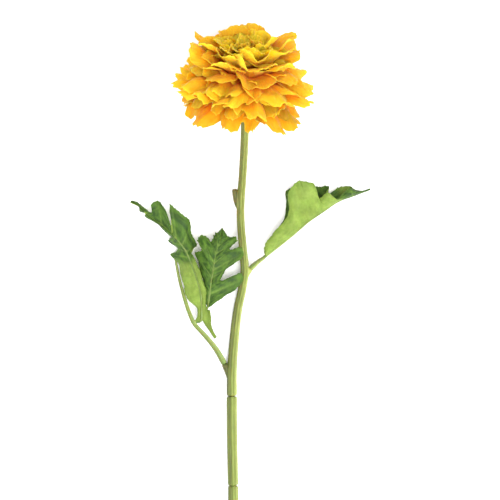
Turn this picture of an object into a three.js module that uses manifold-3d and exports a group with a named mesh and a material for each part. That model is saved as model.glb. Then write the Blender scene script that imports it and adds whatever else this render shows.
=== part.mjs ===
// A cut marigold that lies on its side: a head of ruffled petals on a jointed stem with lobed leaves.
// Millimetres. The stem runs along +Y towards the head, and +Z is up from the surface it lies on.
// Places are laid out with x = 0 at the middle of the upper stem and y = 0 near its cut end. The last
// lines move the whole flower so that the origin is the middle of its underside.
import * as THREE from "three";
import { mergeVertices } from "three/addons/utils/BufferGeometryUtils.js";
import Module from "manifold-3d";

const wasm = await Module();
wasm.setup();

const DEG = Math.PI / 180;
const GAP = 0.35; // clearance between pieces that meet

// ---------- Driving dimensions ----------

const HEAD = {
  x: 0.5,
  y: 290.5,
  z: 42,
  tilt: 25 * DEG, // the face turns up, away from the surface
  lean: 6 * DEG, // and a little to the right
};
const CALYX = { domeRadius: 12.2, domeHeight: -2, length: 20, neckRadius: 3.1 };
const PETAL_THICKNESS = 0.8;
const LEAF_THICKNESS = 0.9;
const PRESS_HEIGHT = 8; // petals lower than this are flattened by the surface they lie on
const LEAF_PRESS_HEIGHT = 4;

const STEM = {
  cutEnd: -61,
  lowerJoint: 9.1,
  upperJoint: 72.1,
  footRadius: 3.8,
  neckRadius: 3,
  neckDrop: 29.7, // the height that the stem loses from the head down to the surface
  neckReach: 260, // the length over which it comes down
};
// The middle line seen from above: x, y.
const STEM_ROUTE = [
  [-8.2, STEM.cutEnd],
  [-8.3, 0],
  [-9.1, 41],
  [-9.3, STEM.upperJoint],
  [-9.2, 90],
  [-8, 108.5],
  [-5.2, 133],
  [-2.2, 147],
  [-0.3, 161],
  [-1.4, 175],
  [-2.9, 193],
  [-3.1, 206],
  [-1.4, 231],
  [-0.2, 255],
  [0.1, 272.5],
];

// From the drooping outer whorl to the upright inner one. Angles are from the plane across the flower's
// axis: where the petal is rooted on the calyx, the way it starts and the way its tip points. The turn is
// in petals, and the length, width and pleat in millimetres.
const whorl = (name, count, turn, [root, start, end], [length, width, pleat]) => {
  return { name, count, turn, root, start, end, length, width, pleat };
};
const WHORLS = [
  whorl("skirt", 8, 0.1, [-13, -10, -52], [34.5, 38, 2.4]),
  whorl("spread", 8, 0.6, [1, 8, -36], [39, 40, 2.6]),
  whorl("middle", 8, 0.25, [14, 25, -22], [36, 38, 2.6]),
  whorl("shoulder", 8, 0.8, [26, 46, 10], [34, 36, 2.2]),
  whorl("upright", 7, 0.4, [38, 58, 34], [32, 30, 1.8]),
  whorl("bowl", 6, 0.1, [50, 66, 56], [26.5, 27, 1.2]),
  whorl("inner", 4, 0.5, [61, 74, 84], [19, 22, 0.6]),
];
const RUFFLES_PER_TURN = 18;

// ---------- Materials ----------

const finish = (color, roughness) =>
  new THREE.MeshStandardMaterial({ color, roughness, metalness: 0, side: THREE.DoubleSide });
const OUTER_PETAL = finish(0xf6b820, 0.75);
const INNER_PETAL = finish(0xdcc030, 0.75);
const STEM_GREEN = finish(0x929f51, 0.6);
const CALYX_GREEN = finish(0x6f8238, 0.65);
const STALK_GREEN = finish(0x8ca05a, 0.6);
const LEAF_GREEN = finish(0x4d7a2c, 0.7);

// ---------- Surfaces and solids ----------

const v3 = (x, y, z) => new THREE.Vector3(x, y, z);
const clamp = THREE.MathUtils.clamp;
const ease = THREE.MathUtils.smoothstep;

// A steady number from -1 to 1 for a piece and a purpose.
function jitter(piece, purpose) {
  const n = Math.sin(piece * 12.9898 + purpose * 78.233) * 43758.5453;
  return 2 * (n - Math.floor(n)) - 1;
}

// The height at which something soft comes to rest: unchanged above the limit, flattened below it.
function restingHeight(z, limit) {
  if (z >= limit) return z;
  return Math.max(z + limit, 0) ** 2 / (4 * limit);
}

function geometryOf(points, triangles) {
  const g = new THREE.BufferGeometry();
  g.setAttribute("position", new THREE.Float32BufferAttribute(points.flatMap((p) => [p.x, p.y, p.z]), 3));
  g.setIndex(triangles);
  return g;
}

// A solid through rings of points, closed by a fan at each end.
function loft(rings) {
  const sides = rings[0].length;
  const points = rings.flat();
  const triangles = [];
  rings.slice(1).forEach((_, i) => {
    for (let j = 0; j < sides; j++) {
      const k = (j + 1) % sides;
      const [a, b, c, d] = [i * sides + j, i * sides + k, (i + 1) * sides + j, (i + 1) * sides + k];
      triangles.push(a, b, d, a, d, c);
    }
  });
  const close = (ring, first, flip) => {
    const middle = ring.reduce((sum, p) => sum.add(p), v3(0, 0, 0)).divideScalar(sides);
    const m = points.push(middle) - 1;
    for (let j = 0; j < sides; j++) {
      const k = (j + 1) % sides;
      triangles.push(m, first + (flip ? k : j), first + (flip ? j : k));
    }
  };
  close(rings[0], 0, true);
  close(rings[rings.length - 1], (rings.length - 1) * sides, false);
  return geometryOf(points, triangles);
}

// A round bar along a curve, from one share of it to another. radiusAt takes a point of the middle line.
function bar(curve, from, to, radiusAt, steps, sides) {
  const rings = [];
  for (let i = 0; i <= steps; i++) {
    const t = from + ((to - from) * i) / steps;
    const centre = curve.getPoint(t);
    const along = curve.getTangent(t);
    const side = along.clone().cross(v3(0, 0, 1)).normalize();
    const up = side.clone().cross(along);
    const radius = radiusAt(centre, i / steps);
    rings.push(
      Array.from({ length: sides }, (_, j) => {
        const turn = (2 * Math.PI * j) / sides;
        return centre
          .clone()
          .addScaledVector(side, -radius * Math.cos(turn))
          .addScaledVector(up, radius * Math.sin(turn));
      }),
    );
  }
  return loft(rings);
}

const evenly = (from, to, steps) => Array.from({ length: steps + 1 }, (_, i) => from + ((to - from) * i) / steps);

// A thin solid on a curved sheet, a grid of the points surface(u, v). It is thickest in the middle and
// comes to a fine edge all round.
function sheet(surface, thickness, us, vs) {
  const [lastU, lastV] = [us.length - 1, vs.length - 1];
  const isEdge = (i, j) => i === 0 || j === 0 || i === lastU || j === lastV;
  const centre = us.map((u) => vs.map((v) => surface(u, v)));
  const points = [];
  const [top, under] = [us.map(() => []), us.map(() => [])];
  us.forEach((_, i) => {
    vs.forEach((_, j) => {
      const p = centre[i][j];
      if (isEdge(i, j)) {
        top[i][j] = under[i][j] = points.push(p) - 1;
        return;
      }
      const along = centre[i + 1][j].clone().sub(centre[i - 1][j]);
      const across = centre[i][j + 1].clone().sub(centre[i][j - 1]);
      const width = centre[i][0].distanceTo(centre[i][lastV]);
      const out = along.cross(across).setLength(Math.min(thickness, width / 5) / 2);
      top[i][j] = points.push(p.clone().add(out)) - 1;
      under[i][j] = points.push(p.clone().sub(out)) - 1;
    });
  });
  const triangles = [];
  for (let i = 0; i < lastU; i++) {
    for (let j = 0; j < lastV; j++) {
      // Split so that no triangle has all three points on the sheet's edge.
      const rising = i < lastU / 2 === j < lastV / 2;
      for (const side of [top, under]) {
        const [a, b, c, d] = [side[i][j], side[i + 1][j], side[i + 1][j + 1], side[i][j + 1]];
        const pair = rising ? [a, b, c, a, c, d] : [a, b, d, b, c, d];
        triangles.push(...(side === top ? pair : pair.reverse()));
      }
    }
  }
  return geometryOf(points, triangles);
}

function solidOf(geometry) {
  const plain = new THREE.BufferGeometry().setAttribute("position", geometry.getAttribute("position"));
  const merged = mergeVertices(plain.setIndex(geometry.index), 1e-4);
  const mesh = new wasm.Mesh({
    numProp: 3,
    vertProperties: merged.attributes.position.array,
    triVerts: new Uint32Array(merged.index.array),
  });
  return new wasm.Manifold(mesh);
}

function joined(...geometries) {
  const whole = geometries.map(solidOf).reduce((sum, solid) => sum.add(solid));
  const mesh = whole.getMesh();
  const g = new THREE.BufferGeometry();
  g.setAttribute("position", new THREE.Float32BufferAttribute(mesh.vertProperties, 3));
  g.setIndex([...mesh.triVerts]);
  return g;
}

function piece(name, geometry, material) {
  const mesh = new THREE.Mesh(geometry, material);
  mesh.name = name;
  return mesh;
}

const curveThrough = (points) => new THREE.CatmullRomCurve3(points.map((p) => v3(...p)), false, "centripetal");

// ---------- Stem ----------

function stemHeight(y) {
  const down = clamp((HEAD.y - CALYX.length + 2 - y) / STEM.neckReach, 0, 1);
  return STEM.footRadius + STEM.neckDrop * (1 - down) ** 4;
}
const stemCurve = curveThrough(STEM_ROUTE.map(([x, y]) => [x, y, stemHeight(y)]));

// The share of the stem's curve at which it passes y.
function stemShare(y) {
  let [low, high] = [0, 1];
  for (let i = 0; i < 40; i++) {
    const middle = (low + high) / 2;
    if (stemCurve.getPoint(middle).y < y) low = middle;
    else high = middle;
  }
  return low;
}
const stemRadius = (y) => THREE.MathUtils.lerp(STEM.footRadius, STEM.neckRadius, ease(y, 60, 200));

// One section. Its two ends are rounded off, which leaves a groove where sections meet.
function stemSection(fromY, toY, steps) {
  const radiusAt = (centre, share) => {
    const nearEnd = Math.min(share, 1 - share) * steps;
    return stemRadius(centre.y) * (nearEnd < 0.5 ? 0.86 : 1);
  };
  return bar(stemCurve, stemShare(fromY), stemShare(toY), radiusAt, steps, 12);
}

// A short side branch that ends in a flat face: a socket for a leaf stalk, or the stub of a cut shoot.
function stub(points, startRadius, endRadius) {
  return bar(curveThrough(points), 0, 1, (_, share) => startRadius + (endRadius - startRadius) * share, 4, 10);
}

const onStem = (y, dx, dy, dz) => stemCurve.getPoint(stemShare(y)).add(v3(dx, dy, dz)).toArray();
const RIGHT_SOCKET = [onStem(155, 0, 0, 0), onStem(159, 2, 0, 0), onStem(162, 4.2, 0.6, 0.2)];
const LEFT_SOCKET = [onStem(84, 0, 0, 0), onStem(89, -2.4, 0, 0), onStem(95, -5.6, 0, 0.4)];
const SIDE_SHOOT = [onStem(203, 0, 0, 0), onStem(209, -2.9, 0, 0.4), onStem(217.5, -5, 0, 0.8)];

// ---------- Head ----------

const headFrame = new THREE.Matrix4().makeRotationFromEuler(new THREE.Euler(HEAD.tilt, 0, -HEAD.lean, "ZXY"));
headFrame.setPosition(HEAD.x, HEAD.y, HEAD.z);
const headFrameBack = headFrame.clone().invert();

// A point of the head, given about the flower's own axis (its y), flattened where it meets the surface.
function settled(p) {
  p.applyMatrix4(headFrame);
  p.z = PETAL_THICKNESS / 2 + restingHeight(p.z - PETAL_THICKNESS / 2, PRESS_HEIGHT);
  return p.applyMatrix4(headFrameBack);
}

// The sheet that one petal follows: an arc that leaves the calyx, spreads sideways about the flower's
// axis, and is pleated more and more towards its tip.
function petalSurface(whorl, whorlIndex, index) {
  const id = whorlIndex * 16 + index;
  const azimuth = (2 * Math.PI * (index + whorl.turn)) / whorl.count;
  const start = (whorl.start + 3 * jitter(id, 1)) * DEG;
  const bend = (whorl.end - whorl.start + 5 * jitter(id, 2)) * DEG;
  const length = whorl.length * (1 + 0.05 * jitter(id, 3));
  const rootRadius = CALYX.domeRadius + GAP + PETAL_THICKNESS;
  const rootR = rootRadius * Math.cos(whorl.root * DEG);
  const rootY = CALYX.domeHeight + rootRadius * Math.sin(whorl.root * DEG);
  return (u, v) => {
    const s = u * (1 - 0.16 * v ** 4);
    const angle = start + bend * s;
    const r = rootR + (length / bend) * (Math.sin(angle) - Math.sin(start));
    const y = rootY + (length / bend) * (Math.cos(start) - Math.cos(angle));
    const halfWidth = (whorl.width / 2) * (0.3 + 0.7 * ease(s, 0, 0.85));
    const turn = azimuth + v * Math.min(halfWidth / r, Math.PI / whorl.count - GAP / r);
    const ruffle = Math.sin(RUFFLES_PER_TURN * turn + whorlIndex * 2.1) * whorl.pleat * Math.max(s, 0) ** 1.4;
    const rr = r - Math.sin(angle) * ruffle;
    return settled(v3(rr * Math.cos(turn), y + Math.cos(angle) * ruffle, rr * Math.sin(turn)));
  };
}

// The crumpled middle of the flower: a low bumpy dome on the calyx's own dome.
function heartGeometry() {
  const foot = CALYX.domeHeight + CALYX.domeRadius + GAP;
  const profile = [
    [0, 0],
    [3, 0],
    [4.2, 5],
    [6.2, 11],
    [6.6, 13.6],
    [5, 16],
    [2.6, 15.4],
    [0, 14.6],
  ];
  return new THREE.LatheGeometry(profile.map(([r, y]) => new THREE.Vector2(r, foot + y)), 14);
}

// A green cup that carries the petals on its domed top and narrows to the stem.
function calyxGeometry() {
  const dome = (angle) => [
    CALYX.domeRadius * Math.cos(angle * DEG),
    CALYX.domeHeight + CALYX.domeRadius * Math.sin(angle * DEG),
  ];
  const cup = [
    [0, -CALYX.length],
    [CALYX.neckRadius, -CALYX.length],
    [CALYX.neckRadius + 1.6, -CALYX.length + 1.5],
    [8.4, -14.5],
    [11.4, -9.5],
  ];
  const top = [-18, 0, 20, 40, 60, 78].map(dome);
  const profile = [...cup, ...top, [0, CALYX.domeHeight + CALYX.domeRadius]];
  return new THREE.LatheGeometry(profile.map(([r, y]) => new THREE.Vector2(r, y)), 24);
}

function makeHead() {
  const head = new THREE.Group();
  headFrame.decompose(head.position, head.quaternion, head.scale);
  head.add(piece("calyx", calyxGeometry(), CALYX_GREEN));
  WHORLS.forEach((whorl, w) => {
    const material = w < 5 ? OUTER_PETAL : INNER_PETAL;
    for (let i = 0; i < whorl.count; i++) {
      const geometry = sheet(petalSurface(whorl, w, i), PETAL_THICKNESS, evenly(0, 1, 5), evenly(-1, 1, 6));
      head.add(piece(`petal_${whorl.name}_${i + 1}`, geometry, material));
    }
  });
  head.add(piece("heart", heartGeometry(), INNER_PETAL));
  return head;
}

// ---------- Leaves ----------

// A leaf blade is two halves that meet at the midrib, a curve through evenly spaced points. Each half
// ends at an edge curve: rows of [share of the midrib, x, y, z]. The straight ribs between the two
// are arched by the leaf's arch, in millimetres at mid rib.
const LEAVES = {
  // Folded upwards along its midrib, so that its pale underside is seen.
  right_leaf: {
    midrib: [
      [14.7, 171, 7.5],
      [25, 179, 9.5],
      [35, 187, 11],
      [44.5, 195, 11.5],
      [55, 202, 10.5],
      [65.5, 209, 9],
      [76, 213, 7.5],
      [88, 217.5, 5.5],
    ],
    near: [
      [0, 13.7, 172, 8],
      [0.08, 13.6, 177.5, 11],
      [0.16, 17.5, 184, 13.5],
      [0.24, 24.5, 191, 14.5],
      [0.31, 30.5, 201, 16],
      [0.38, 31, 215.5, 20],
      [0.46, 37, 222.5, 23],
      [0.54, 46.5, 221, 22],
      [0.62, 51.5, 211, 15],
      [0.69, 57.5, 214, 15.5],
      [0.77, 63, 210.5, 11.5],
      [0.86, 73, 217, 12],
      [0.92, 78.5, 216, 8.5],
      [1, 88, 218.1, 6],
    ],
    far: [
      [0, 15.7, 170, 7],
      [0.08, 15.5, 179, 5.5],
      [0.16, 20.5, 187, 3],
      [0.24, 27.5, 197, 1],
      [0.31, 29, 208, 0],
      [0.38, 28.7, 216.7, 1],
      [0.47, 41, 220, 0],
      [0.56, 52.5, 219.5, 2],
      [0.61, 58.6, 219.6, 5],
      [0.66, 54.5, 210, 7],
      [0.78, 66, 219, 4],
      [0.84, 72, 219.5, 3.5],
      [0.92, 78, 217, 4.5],
      [1, 88.4, 217, 5],
    ],
    arch: [3, -2],
  },
  // The outer blade of the left leaf, turned so that its foot shows the pale underside.
  left_leaf_outer: {
    midrib: [
      [-31.5, 127.5, 7.5],
      [-30.5, 141, 10.5],
      [-33, 152.5, 12],
      [-37, 164, 12.5],
      [-42, 175, 12],
      [-49.5, 184.5, 11],
      [-59, 193, 9.5],
      [-68.5, 199.5, 8],
      [-73.5, 205, 7],
      [-80.5, 209, 6],
    ],
    near: [
      [0, -29, 127.5, 7.5],
      [0.08, -27.5, 138, 10.5],
      [0.16, -27, 146, 12.5],
      [0.26, -31, 158, 13.5],
      [0.34, -35, 168.5, 13.5],
      [0.39, -37, 173.5, 12],
      [0.43, -33, 178.5, 7],
      [0.46, -36.5, 185.5, 9],
      [0.49, -38, 195.5, 13],
      [0.52, -42.5, 199, 15],
      [0.54, -48, 203.5, 16],
      [0.56, -54.3, 207.2, 16],
      [0.585, -49, 186.8, 12.5],
      [0.62, -56, 203.5, 14],
      [0.66, -61, 209.5, 13.5],
      [0.7, -65.5, 207, 12.5],
      [0.76, -65.5, 201.5, 9.5],
      [0.86, -70.5, 204, 8],
      [0.93, -76, 209, 7],
      [1, -80.2, 209.8, 6],
    ],
    far: [
      [0, -33.8, 127.5, 7],
      [0.05, -33.2, 136, 7.5],
      [0.1, -40.5, 140.5, 6.5],
      [0.18, -43, 147.5, 5.5],
      [0.26, -45, 157, 5],
      [0.34, -47, 166, 4],
      [0.39, -54, 171.5, 1],
      [0.43, -48.5, 175.5, 6],
      [0.48, -55, 180.5, 1.5],
      [0.54, -53, 184, 7],
      [0.66, -60.5, 192, 8],
      [0.77, -70.5, 199, 5],
      [0.82, -69, 201, 7],
      [0.88, -74, 202.5, 4.5],
      [0.92, -74, 205, 6],
      [1, -80.7, 208.3, 6],
    ],
    arch: [1.5, 1.5],
  },
  // The inner blade of the left leaf, spread flat and facing up, with two lobes across the stem.
  left_leaf_inner: {
    midrib: [
      [-26, 135.5, 9.5],
      [-24.5, 147, 12.5],
      [-22.5, 159.5, 14.5],
      [-20.5, 171.5, 15.5],
      [-17.5, 181.5, 15.5],
      [-15.5, 190, 14.5],
    ],
    near: [
      [0, -25.2, 134.8, 9.5],
      [0.04, -22, 137.5, 10.5],
      [0.08, -15, 142, 11.5],
      [0.12, -6, 147.5, 12],
      [0.15, -1, 154.5, 12],
      [0.18, -3, 159, 12.5],
      [0.23, -11.5, 155.5, 13],
      [0.28, -17, 153.5, 13.5],
      [0.31, -14, 159.5, 14],
      [0.35, -7.5, 164.5, 13.5],
      [0.39, -2, 169, 12.5],
      [0.42, -0.5, 173.5, 12],
      [0.47, -4, 177.5, 12.5],
      [0.54, -11, 175.5, 14],
      [0.62, -5, 181, 12.5],
      [0.7, -7, 185, 12.5],
      [0.8, -12, 184, 14],
      [1, -15.2, 189.2, 14.5],
    ],
    far: [
      [0, -27, 136, 9.5],
      [0.08, -29, 146, 8.5],
      [0.18, -31, 157, 9.5],
      [0.27, -32.5, 166.5, 10],
      [0.34, -36, 173, 10],
      [0.39, -31, 175, 13],
      [0.44, -33.5, 181, 14],
      [0.5, -31.5, 185.5, 13],
      [0.57, -26.5, 184, 14.5],
      [0.64, -23.5, 181.5, 15.5],
      [0.72, -21.5, 187, 14.5],
      [0.84, -18.5, 187.5, 14.5],
      [1, -15.8, 190.8, 14.5],
    ],
    arch: [1.5, 1.5],
  },
  // A narrow leaflet that hangs from the foot of the left leaf.
  left_leaflet: {
    midrib: [
      [-26.4, 133, 6.5],
      [-26.2, 127, 6],
      [-25.6, 123, 5],
      [-24.2, 119, 4],
      [-22.4, 115.5, 3],
      [-20.6, 113, 2.5],
    ],
    near: [
      [0, -24.9, 133, 7.2],
      [0.2, -23.8, 127.5, 7],
      [0.4, -24, 123, 5.5],
      [0.7, -22.3, 118.2, 3.7],
      [1, -19.9, 113.6, 2.6],
    ],
    far: [
      [0, -27.9, 133, 6],
      [0.2, -28.8, 127, 4.5],
      [0.4, -28, 122.6, 3.8],
      [0.7, -24.5, 116.8, 3.3],
      [1, -21.3, 112.4, 2.4],
    ],
    arch: [0.5, 0.5],
  },
};

// A point of an edge curve at a share t of the midrib.
function edgePoint(rows, curve, t) {
  const next = Math.max(1, rows.findIndex((row) => row[0] >= t));
  const [from, to] = [rows[next - 1][0], rows[next][0]];
  return curve.getPoint((next - 1 + (t - from) / (to - from)) / (rows.length - 1));
}

function leafSurface(leaf) {
  const midrib = curveThrough(leaf.midrib);
  const halves = [leaf.far, leaf.near].map((rows, i) => {
    const curve = curveThrough(rows.map((row) => row.slice(1)));
    return { edge: (t) => edgePoint(rows, curve, t), arch: leaf.arch[1 - i] };
  });
  return (u, v) => {
    const t = clamp(u, 0, 1);
    const { edge, arch } = halves[v < 0 ? 0 : 1];
    const share = Math.abs(v);
    const p = midrib.getPoint(t).lerp(edge(t), share);
    p.z += 4 * arch * share * (1 - share);
    p.z = LEAF_THICKNESS / 2 + restingHeight(p.z - LEAF_THICKNESS / 2, LEAF_PRESS_HEIGHT);
    return p;
  };
}

function leafPiece(name) {
  const leaf = LEAVES[name];
  const stations = [...leaf.near, ...leaf.far].map((row) => row[0]).sort((a, b) => a - b);
  const shares = stations.filter((t, i) => i === 0 || t - stations[i - 1] > 0.009);
  return piece(name, sheet(leafSurface(leaf), LEAF_THICKNESS, shares, evenly(-1, 1, 6)), LEAF_GREEN);
}

// A round stalk that narrows from one end to the other.
function stalk(points, startRadius, endRadius, steps = 6) {
  return bar(curveThrough(points), 0, 1, (_, share) => startRadius + (endRadius - startRadius) * share, steps, 8);
}

// A stalk stands on the end of its socket.
function onSocket(socket, ...points) {
  const curve = curveThrough(socket);
  const start = curve.getPoint(1).addScaledVector(curve.getTangent(1), GAP);
  return [start.toArray(), start.addScaledVector(curve.getTangent(1), 2).toArray(), ...points];
}

const FORK = [-36, 123, 5.5];
const RIGHT_STALK = onSocket(RIGHT_SOCKET, [9.5, 167, 7.6], [13.6, 169.8, 7.5]);
const LEFT_STALK = onSocket(LEFT_SOCKET, [-21, 106, 6], [-28, 114.5, 6], FORK);
const OUTER_BRANCH = [
  FORK,
  [-39.5, 131.5, 5.5],
  [-42.5, 140.5, 4.6],
  [-46, 153, 3],
  [-48.3, 164, 2],
  [-49.4, 171, 1.6],
];
const INNER_BRANCH = [FORK, [-34.5, 124.5, 6.2], [-32.5, 126.5, 7]];

function makePlant() {
  const plant = new THREE.Group();
  const upper = joined(
    stemSection(STEM.upperJoint + GAP / 2, STEM_ROUTE.at(-1)[1] - GAP, 30),
    stub(RIGHT_SOCKET, 2.6, 2.1),
    stub(LEFT_SOCKET, 3, 2.3),
    stub(SIDE_SHOOT, 2.2, 1.9),
  );
  const forkedStalk = joined(
    stalk(LEFT_STALK, 1.9, 1.6),
    stalk(OUTER_BRANCH, 1.6, 0.9, 10),
    stalk(INNER_BRANCH, 1.6, 1.3),
  );
  plant.add(
    piece("stem_upper", upper, STEM_GREEN),
    piece("stem_middle", stemSection(STEM.lowerJoint + GAP / 2, STEM.upperJoint - GAP / 2, 8), STEM_GREEN),
    piece("stem_lower", stemSection(STEM.cutEnd, STEM.lowerJoint - GAP / 2, 8), STEM_GREEN),
    piece("right_leaf_stalk", stalk(RIGHT_STALK, 1.8, 1.5), STALK_GREEN),
    piece("left_leaf_stalk", forkedStalk, STALK_GREEN),
    ...Object.keys(LEAVES).map(leafPiece),
  );
  return plant;
}

// ---------- The whole flower ----------

const flower = new THREE.Group();
flower.add(makePlant(), makeHead());
flower.updateMatrixWorld(true);
const space = new THREE.Box3().setFromObject(flower, true);
const middle = space.getCenter(v3(0, 0, 0));
flower.position.set(-middle.x, -middle.y, -space.min.z);

export default flower;
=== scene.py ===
"""A cut marigold, lying on its side and seen from above.

Lengths are millimetres in the flower's own layout: x = 0 is the middle of the upper stem, y runs along
the stem towards the head with its zero near the cut end, and z = 0 is the surface that the flower lies
on. in_frame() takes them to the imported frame's metres.
"""

import math

import bmesh
import bpy
import numpy as np
from mathutils import Euler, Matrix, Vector


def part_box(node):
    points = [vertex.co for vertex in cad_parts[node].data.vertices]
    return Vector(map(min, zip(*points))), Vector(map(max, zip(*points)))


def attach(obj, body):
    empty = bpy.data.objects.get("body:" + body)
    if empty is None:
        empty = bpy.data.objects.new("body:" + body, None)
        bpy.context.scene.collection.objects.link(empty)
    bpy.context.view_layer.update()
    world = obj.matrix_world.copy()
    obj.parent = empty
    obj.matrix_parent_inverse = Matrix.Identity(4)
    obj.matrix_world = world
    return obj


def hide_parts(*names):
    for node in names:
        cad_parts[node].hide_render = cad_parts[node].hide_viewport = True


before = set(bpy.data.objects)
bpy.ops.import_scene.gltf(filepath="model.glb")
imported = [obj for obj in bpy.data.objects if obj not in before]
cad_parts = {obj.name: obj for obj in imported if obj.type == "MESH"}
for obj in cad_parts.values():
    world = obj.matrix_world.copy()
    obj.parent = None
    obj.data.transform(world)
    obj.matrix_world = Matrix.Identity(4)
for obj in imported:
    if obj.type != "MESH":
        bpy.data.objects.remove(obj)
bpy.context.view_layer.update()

MM = 0.001
DEG = math.pi / 180
ROOT = "root"

# The layout's origin in the frame, found from the cut end of the stem, which lies at this x and y.
CUT_END = (-8.25, -61)
stem_low, stem_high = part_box("stem_lower")
ORIGIN = Vector((
    (stem_low.x + stem_high.x) / 2 - CUT_END[0] * MM,
    stem_low.y - CUT_END[1] * MM,
    0,
))


def in_frame(points):
    """Layout millimetres to frame metres, for one point or an array of them."""
    return np.asarray(points, float) * MM + np.array(ORIGIN)


# ---------- Node trees written as formulas ----------


class Field:
    """A number in a node tree. Python's operators on it make the tree's Math nodes."""

    def __init__(self, tree, socket):
        self.tree = tree
        self.socket = socket

    def math(self, operation, *values):
        node = self.tree.nodes.new("ShaderNodeMath")
        node.operation = operation
        for socket, value in zip(node.inputs, values):
            feed(self.tree, socket, value)
        return Field(self.tree, node.outputs[0])

    def __add__(self, other):
        return self.math("ADD", self, other)

    def __sub__(self, other):
        return self.math("SUBTRACT", self, other)

    def __rsub__(self, other):
        return self.math("SUBTRACT", other, self)

    def __mul__(self, other):
        return self.math("MULTIPLY", self, other)

    def __truediv__(self, other):
        return self.math("DIVIDE", self, other)

    def __rtruediv__(self, other):
        return self.math("DIVIDE", other, self)

    def __pow__(self, other):
        return self.math("POWER", self, other)

    __radd__ = __add__
    __rmul__ = __mul__

    def sin(self):
        return self.math("SINE", self)

    def cos(self):
        return self.math("COSINE", self)

    def size(self):
        return self.math("ABSOLUTE", self)

    def at_least(self, low):
        return self.math("MAXIMUM", self, low)

    def at_most(self, high):
        return self.math("MINIMUM", self, high)

    def eased(self, low, high, to_low=0.0, to_high=1.0):
        """A smooth step from to_low to to_high as the number goes from low to high."""
        node = self.tree.nodes.new("ShaderNodeMapRange")
        node.interpolation_type = "SMOOTHSTEP"
        for socket, value in zip(node.inputs, (self, low, high, to_low, to_high)):
            feed(self.tree, socket, value)
        return Field(self.tree, node.outputs[0])


def feed(tree, socket, value):
    """Puts a value, a socket or a field into a node's input."""
    if isinstance(value, Field):
        value = value.socket
    if isinstance(value, bpy.types.NodeSocket):
        tree.links.new(value, socket)
    elif value is not None:
        socket.default_value = value


def node(tree, kind, *inputs, **settings):
    """A new node with its settings, and its first inputs fed in order."""
    made = tree.nodes.new(kind)
    for name, value in settings.items():
        setattr(made, name, value)
    for socket, value in zip(made.inputs, inputs):
        feed(tree, socket, value)
    return made


def vector(tree, x, y, z):
    return node(tree, "ShaderNodeCombineXYZ", x, y, z).outputs[0]


def parts_of(tree, vector_socket):
    """The three numbers of a vector."""
    return [Field(tree, out) for out in node(tree, "ShaderNodeSeparateXYZ", vector_socket).outputs]


# ---------- Geometry Nodes: shared steps ----------


def new_geometry_tree(name, numbers):
    """A tree with named number inputs. Returns it with a dictionary of those inputs as fields."""
    tree = bpy.data.node_groups.new(name, "GeometryNodeTree")
    face = tree.interface
    face.new_socket("Geometry", in_out="INPUT", socket_type="NodeSocketGeometry")
    for label in numbers:
        face.new_socket(label, in_out="INPUT", socket_type="NodeSocketFloat")
    face.new_socket("Finish", in_out="INPUT", socket_type="NodeSocketMaterial")
    face.new_socket("Geometry", in_out="OUTPUT", socket_type="NodeSocketGeometry")
    entry = tree.nodes.new("NodeGroupInput")
    fields = {label: Field(tree, entry.outputs[label]) for label in numbers}
    return tree, entry, fields


def close_tree(tree, entry, geometry):
    """The last steps of every tree: real meshes, smooth shading and the piece's material."""
    real = node(tree, "GeometryNodeRealizeInstances", geometry).outputs[0]
    smooth = node(tree, "GeometryNodeSetShadeSmooth", real).outputs[0]
    painted = node(tree, "GeometryNodeSetMaterial", smooth)
    feed(tree, painted.inputs["Material"], entry.outputs["Finish"])
    feed(tree, node(tree, "NodeGroupOutput").inputs[0], painted.outputs[0])
    return tree


def moved_to(tree, geometry, x, y, z):
    placed = node(tree, "GeometryNodeSetPosition", geometry)
    feed(tree, placed.inputs["Position"], vector(tree, x, y, z))
    return placed.outputs[0]


def keep(tree, geometry, label, value):
    """Stores a number on the mesh, under a name that the materials read."""
    stored = node(tree, "GeometryNodeStoreNamedAttribute", geometry, data_type="FLOAT", domain="POINT")
    stored.inputs["Name"].default_value = label
    feed(tree, stored.inputs["Value"], value)
    return stored.outputs[0]


def grid(tree, along, across):
    """A flat grid with its two running numbers: along from 0 to 1 and across from -1 to 1."""
    mesh = node(tree, "GeometryNodeMeshGrid", 1.0, 1.0, across, along).outputs[0]
    x, y, _ = parts_of(tree, node(tree, "GeometryNodeInputPosition").outputs[0])
    mesh = keep(tree, mesh, "along", y + 0.5)
    mesh = keep(tree, mesh, "across", x * 2)
    return mesh, stored(tree, "along"), stored(tree, "across")


def stored(tree, label):
    read = node(tree, "GeometryNodeInputNamedAttribute", data_type="FLOAT")
    read.inputs["Name"].default_value = label
    return Field(tree, read.outputs[0])


def thickened(tree, sheet, thickness):
    """A closed solid from a sheet: its two faces, marked with which is the back, and its rim."""
    back = node(tree, "GeometryNodeFlipFaces", sheet).outputs[0]
    raised = node(tree, "GeometryNodeExtrudeMesh", sheet)
    feed(tree, raised.inputs["Offset Scale"], thickness)
    raised.inputs["Individual"].default_value = False
    front = keep(tree, raised.outputs[0], "back", 0.0)
    both = node(tree, "GeometryNodeJoinGeometry").inputs[0]
    tree.links.new(keep(tree, back, "back", 1.0), both)
    tree.links.new(front, both)
    weld = node(tree, "GeometryNodeMergeByDistance", both.node.outputs[0])
    weld.inputs["Distance"].default_value = 1e-7
    return weld.outputs[0]


def resting_height(z, limit):
    """The height at which something soft comes to rest: flattened below the limit, unchanged above it."""
    if isinstance(z, Field):
        pressed = (z + limit).at_least(0.0) ** 2 / (4 * limit)
        high = z.math("GREATER_THAN", z, limit)
        return pressed + high * (z - pressed)
    return np.where(z >= limit, z, np.maximum(z + limit, 0) ** 2 / (4 * limit))


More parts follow.
